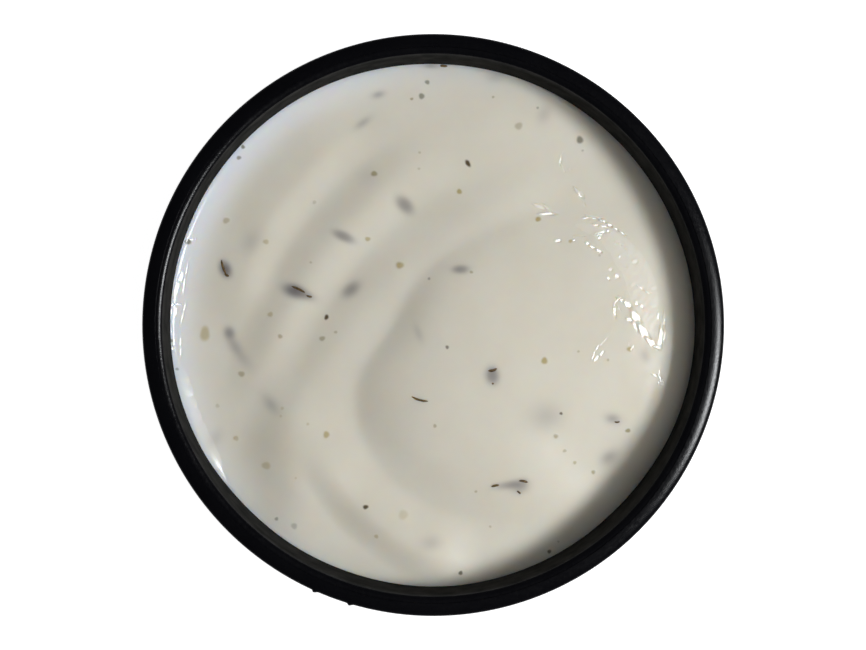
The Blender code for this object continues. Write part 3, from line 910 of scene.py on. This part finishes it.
def paint_flecks_and_sheen(item):
    """Colour and amount of what shows through the surface, and of the painted sheen, kept on the
    mesh's points.
    """
    data = item.data
    places = np.zeros(len(data.vertices) * 3, np.float32)
    data.vertices.foreach_get("co", places)
    x, y, z = places.reshape(-1, 3).T / MM
    # The colour starts as the painted sheen of the lit left edge, fading inwards from the wall and
    # away from its direction
    colour = np.tile(np.array([*PAINTED_EDGE_SHEEN_COLOUR, 0.0]), (len(x), 1))
    towards = np.cos(np.radians(degrees_from(np.arctan2(y, x), PAINTED_EDGE_SHEEN_TOWARDS)))
    inwards = (EDGE_R - np.hypot(x, y)) / PAINTED_EDGE_SHEEN_WIDTH
    colour[:, 3] = (0.5 + 0.5 * towards) ** 3 * np.exp(-(np.maximum(inwards, 0.0) ** 2))
    # painted sheen over the wrinkled skin
    lay_over(colour, WRINKLED_PAINTED_SHEEN * wrinkled(x, y) ** 2, WRINKLED_SHEEN_TONE)
    for shape in PATCHES:
        amount = shape.amount * np.exp(-(oval(x, y, shape) ** shape.sharpness))
        lay_over(colour, amount, HUSK_UNDER)
    for shape in GRAINS:
        amount = shape.amount * (1.0 - ease((uneven(x, y, shape) - GRAIN_SOLID) / GRAIN_FADE))
        lay_over(colour, amount, GRAIN_COLOURS[shape.tone])
    colour[z * MM < LEVEL - PAINT_DEPTH, 3] = 0.0
    layer = data.color_attributes.new("flecks_and_sheen", "FLOAT_COLOR", "POINT")
    layer.data.foreach_set("color", colour.astype(np.float32).ravel())


def note_wrinkles(item):
    """How finely wrinkled the skin is, kept on the mesh's points: it blurs what is mirrored."""
    data = item.data
    places = np.zeros(len(data.vertices) * 3, np.float32)
    data.vertices.foreach_get("co", places)
    x, y, z = places.reshape(-1, 3).T / MM
    amount = wrinkled(x, y) ** 2 * (z * MM > LEVEL - PAINT_DEPTH)
    for shape in FACETS:
        amount = amount * ease((oval(x, y, shape) - 0.7) / 0.5)
    layer = data.attributes.new("wrinkles", "FLOAT", "POINT")
    layer.data.foreach_set("value", amount.astype(np.float32))


def sliver_mesh(mesh, shape, stations=9, sides=6):
    """A thin bent edge of husk, pointed at both ends, half out of the surface."""
    start, end = np.array(shape.start), np.array(shape.end)
    along = end - start
    across = np.array([-along[1], along[0]]) / np.hypot(*along)
    share = np.linspace(0.0, 1.0, stations)[:, None]
    middle = start + along * share + across * shape.bend * 4 * share * (1 - share)
    radius = 0.5 * shape.width * np.maximum(1.0 - np.abs(2 * share - 1) ** 5, 0.2)
    height = surface(*middle.T * MM)[:, None] / MM
    angle = evenly(sides)
    x, y = (middle[:, [k]] + across[k] * radius * np.cos(angle) for k in (0, 1))
    z = height + radius * (0.75 * np.sin(angle) + 0.1)
    points = np.stack([x, y, z], axis=-1) * MM
    rings = [[mesh.verts.new(point) for point in ring] for ring in points]
    for first, second in zip(rings, rings[1:]):
        for k in range(sides):
            n = (k + 1) % sides
            mesh.faces.new((first[k], first[n], second[n], second[k]))
    mesh.faces.new(rings[0][::-1])
    mesh.faces.new(rings[-1])


# ---------------------------------------------------------------- materials


def new_material(name):
    """An empty material with a Principled shader; gives the material, its nodes and the shader."""
    material = bpy.data.materials.new(name)
    material.use_nodes = True
    nodes = material.node_tree
    return material, nodes, nodes.nodes["Principled BSDF"]


def add(nodes, kind, **values):
    """A node of that kind, with named values set on the node or on its inputs."""
    node = nodes.nodes.new(kind)
    for name, value in values.items():
        if name in node.inputs:
            node.inputs[name].default_value = value
        else:
            setattr(node, name, value)
    return node


def noise(nodes, size, detail=3.0, roughness=0.5):
    """Noise whose lumps are about that size in metres, from the object's own coordinates."""
    place = add(nodes, "ShaderNodeTexCoord")
    texture = add(nodes, "ShaderNodeTexNoise", Scale=1.0 / size, Detail=detail, Roughness=roughness)
    nodes.links.new(place.outputs["Object"], texture.inputs["Vector"])
    return texture.outputs["Fac"]


def spread(nodes, value, low, high):
    """A noise value of about 0.3 to 0.7 taken to a range."""
    taken = add(nodes, "ShaderNodeMapRange")
    taken.inputs["From Min"].default_value = 0.3
    taken.inputs["From Max"].default_value = 0.7
    taken.inputs["To Min"].default_value = low
    taken.inputs["To Max"].default_value = high
    nodes.links.new(value, taken.inputs["Value"])
    return taken.outputs["Result"]


def between(nodes, factor, first, second):
    """A colour between two others, each a colour or a node's output."""
    mix = add(nodes, "ShaderNodeMix", data_type="RGBA")
    nodes.links.new(factor, mix.inputs["Factor"])
    for socket, colour in ((mix.inputs[6], first), (mix.inputs[7], second)):
        if isinstance(colour, tuple):
            socket.default_value = (*colour, 1.0)
        else:
            nodes.links.new(colour, socket)
    return mix.outputs[2]


def bump(nodes, shader, height, distance, strength=1.0):
    """Fine relief in the shading, with its height in metres."""
    node = add(nodes, "ShaderNodeBump", Strength=strength, Distance=distance)
    nodes.links.new(height, node.inputs["Height"])
    nodes.links.new(node.outputs["Normal"], shader.inputs["Normal"])


def black_melamine():
    """Satin black, with the fine grain of the moulded surface."""
    material, nodes, shader = new_material("black_melamine")
    tone = spread(nodes, noise(nodes, 6 * MM), 0.0, 1.0)
    colour = between(nodes, tone, (0.0018, 0.0018, 0.0027), (0.0030, 0.0030, 0.0040))
    nodes.links.new(colour, shader.inputs["Base Color"])
    nodes.links.new(spread(nodes, noise(nodes, 0.5 * MM), 0.17, 0.27), shader.inputs["Roughness"])
    shader.inputs["IOR"].default_value = 1.33
    bump(nodes, shader, noise(nodes, 0.22 * MM), 0.012 * MM)
    return material


def wall_film():
    """The bowl's inner wall, dulled by a smear of mayonnaise and oil."""
    material, nodes, shader = new_material("wall_film")
    tone = spread(nodes, noise(nodes, 2.5 * MM), 0.0, 1.0)
    colour = between(nodes, tone, (0.022, 0.022, 0.021), (0.040, 0.039, 0.037))
    nodes.links.new(colour, shader.inputs["Base Color"])
    nodes.links.new(spread(nodes, noise(nodes, 0.9 * MM), 0.45, 0.6), shader.inputs["Roughness"])
    shader.inputs["Specular IOR Level"].default_value = 0.0
    bump(nodes, shader, noise(nodes, 0.2 * MM), 0.01 * MM)
    return material


def mayonnaise_cream():
    """Pale cream, a little translucent, with the flecks that show through it and painted sheen."""
    material, nodes, shader = new_material("mayonnaise_cream")
    tone = spread(nodes, noise(nodes, 7 * MM), 0.0, 1.0)
    cream = between(nodes, tone, (0.80, 0.755, 0.645), (0.83, 0.79, 0.69))
    # the attribute carries the flecks under the surface and the painted sheen
    flecks_and_sheen = add(nodes, "ShaderNodeAttribute", attribute_name="flecks_and_sheen")
    colour = between(nodes, flecks_and_sheen.outputs["Alpha"], cream, flecks_and_sheen.outputs["Color"])
    nodes.links.new(colour, shader.inputs["Base Color"])
    shader.inputs["Subsurface Weight"].default_value = 1.0
    shader.inputs["Subsurface Radius"].default_value = (1.0, 0.8, 0.58)
    shader.inputs["Subsurface Scale"].default_value = 1.8 * MM
    blurred = add(nodes, "ShaderNodeMapRange")
    blurred.inputs["To Max"].default_value = WRINKLED_ROUGHNESS
    wrinkles = add(nodes, "ShaderNodeAttribute", attribute_name="wrinkles")
    smooth = spread(nodes, noise(nodes, 2.5 * MM), 0.12, 0.24)
    nodes.links.new(wrinkles.outputs["Fac"], blurred.inputs["Value"])
    nodes.links.new(smooth, blurred.inputs["To Min"])
    nodes.links.new(blurred.outputs["Result"], shader.inputs["Roughness"])
    shader.inputs["IOR"].default_value = 1.45
    return material


def pepper_husk():
    """Dark brown husk, golden brown where it is thin."""
    material, nodes, shader = new_material("pepper_husk")
    tone = spread(nodes, noise(nodes, 0.5 * MM), 0.0, 1.0)
    colour = between(nodes, tone, (0.070, 0.046, 0.020), (0.24, 0.15, 0.055))
    nodes.links.new(colour, shader.inputs["Base Color"])
    nodes.links.new(spread(nodes, noise(nodes, 0.2 * MM), 0.35, 0.6), shader.inputs["Roughness"])
    return material


def pale_floor():
    """A near white, matt studio floor that glows enough to hide most of the shadow."""
    material, nodes, shader = new_material("pale_floor")
    tone = spread(nodes, noise(nodes, 60 * MM), 0.0, 1.0)
    colour = between(nodes, tone, (0.42, 0.42, 0.42), (0.44, 0.44, 0.44))
    nodes.links.new(colour, shader.inputs["Base Color"])
    shader.inputs["Roughness"].default_value = 1.0
    shader.inputs["Emission Color"].default_value = (1.0, 1.0, 1.0, 1.0)
    shader.inputs["Emission Strength"].default_value = 0.97
    return material


# ---------------------------------------------------------------- pieces


def build_bowl(rim_r, bowl_h):
    """The bowl, with a dull film on its inner wall."""
    bowl = turned("bowl_melamine", bowl_profile(rim_r, bowl_h), rim_r, black_melamine())
    bowl.data.materials.append(wall_film())
    inner_r = rim_r - RIM_WIDTH + FILM_TOP * RIM_INNER_ROUND
    for face in bowl.data.polygons:
        x, y, z = face.center
        looks_out = face.normal.x * x + face.normal.y * y > 0.1 * np.hypot(x, y)
        if np.hypot(x, y) < inner_r and z > FLOOR_Z - 0.1 * MM and not looks_out:
            face.material_index = 1
    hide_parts("bowl")


def build_mayonnaise(rim_r, bowl_h):
    """The filling, from its relief down to the bowl's floor."""
    profile = hollow_profile(rim_r, bowl_h)
    edge_r = wall_radius(profile, LEVEL) + INTO_WALL
    mesh = bmesh.new()
    sauce_top(mesh, edge_r)
    set_heights(mesh)
    close_below(mesh, profile)
    item = finished("mayonnaise_body", mesh, mayonnaise_cream())
    paint_flecks_and_sheen(item)
    note_wrinkles(item)
    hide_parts("mayonnaise")


def build_slivers():
    """All edges of husk that break the surface, as one piece."""
    mesh = bmesh.new()
    for shape in SLIVERS:
        sliver_mesh(mesh, shape)
    item = finished("pepper_slivers", mesh, pepper_husk())


# ---------------------------------------------------------------- studio


def build_floor():
    """A wide pale studio floor, which shows in no reflection."""
    data = bpy.data.meshes.new("floor")
    half = FLOOR_HALF
    corners = [(-half, -half, 0), (half, -half, 0), (half, half, 0), (-half, half, 0)]
    data.from_pydata(corners, [], [(0, 1, 2, 3)])
    data.materials.append(pale_floor())
    floor = bpy.data.objects.new("floor", data)
    bpy.context.scene.collection.objects.link(floor)
    floor.visible_glossy = False


def direction(azimuth, elevation):
    """The unit vector of a direction given in degrees from +X and above the horizon."""
    a, e = np.radians(azimuth), np.radians(elevation)
    return Vector((np.cos(a) * np.cos(e), np.sin(a) * np.cos(e), np.sin(e)))


def build_lamp(name, rim_h, azimuth, elevation, size, power):
    """A rectangular light at the window's distance, which looks at the middle of the bowl."""
    data = bpy.data.lights.new(name, "AREA")
    data.shape = "RECTANGLE"
    data.size, data.size_y = size
    data.energy = power
    data.color = WINDOW_COLOUR
    lamp = bpy.data.objects.new(name, data)
    bpy.context.scene.collection.objects.link(lamp)
    towards = direction(azimuth, elevation)
    lamp.location = Vector((0, 0, rim_h)) + towards * WINDOW_DISTANCE
    lamp.rotation_euler = towards.to_track_quat("Z", "Y").to_euler()
    return lamp


def build_lights(rim_h):
    """A window, and the softer light of the room round it, which shows in no reflection."""
    size = (WINDOW_WIDTH, WINDOW_HEIGHT)
    build_lamp("window", rim_h, WINDOW_AZIMUTH, WINDOW_ELEVATION, size, WINDOW_POWER)
    size = (FILL_WIDTH, FILL_HEIGHT)
    fill = build_lamp("fill", rim_h, WINDOW_AZIMUTH, FILL_ELEVATION, size, FILL_POWER)
    fill.visible_glossy = False


def build_world():
    """Dim above, pale in a low band round the horizon."""
    world = bpy.data.worlds.new("studio")
    bpy.context.scene.world = world
    world.use_nodes = True
    nodes = world.node_tree
    place = add(nodes, "ShaderNodeTexCoord")
    parts = add(nodes, "ShaderNodeSeparateXYZ")
    nodes.links.new(place.outputs["Generated"], parts.inputs["Vector"])
    height = add(nodes, "ShaderNodeMapRange")
    height.inputs["From Min"].default_value = HORIZON_LOW
    height.inputs["From Max"].default_value = HORIZON_HIGH
    height.inputs["To Min"].default_value = HORIZON_GLOW
    height.inputs["To Max"].default_value = AMBIENT
    nodes.links.new(parts.outputs["Z"], height.inputs["Value"])
    background = nodes.nodes["Background"]
    background.inputs["Color"].default_value = (0.97, 0.98, 1.0, 1.0)
    nodes.links.new(height.outputs["Result"], background.inputs["Strength"])


def build_camera(rim_h):
    """The photo's view, nearly straight down."""
    data = bpy.data.cameras.new("camera")
    data.sensor_width = SENSOR
    data.lens = SENSOR * CAMERA_ABOVE_RIM / VIEW_WIDTH
    data.clip_end = 10.0
    camera = bpy.data.objects.new("camera", data)
    bpy.context.scene.collection.objects.link(camera)
    tilt = np.radians(CAMERA_TILT)
    back = Vector((-np.sin(tilt), 0.0, np.cos(tilt)))
    camera.location = Vector((AIM_X, 0, rim_h)) + back * CAMERA_ABOVE_RIM
    camera.rotation_euler = (0.0, -tilt, 0.0)
    bpy.context.scene.camera = camera


def main():
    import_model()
    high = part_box("bowl")[1]
    rim_r, bowl_h = high.x, high.z
    bpy.context.scene.view_settings.view_transform = "Standard"
    build_camera(bowl_h)
    build_lights(bowl_h)
    build_world()
    build_floor()
    build_bowl(rim_r, bowl_h)
    build_mayonnaise(rim_r, bowl_h)
    build_slivers()


main()
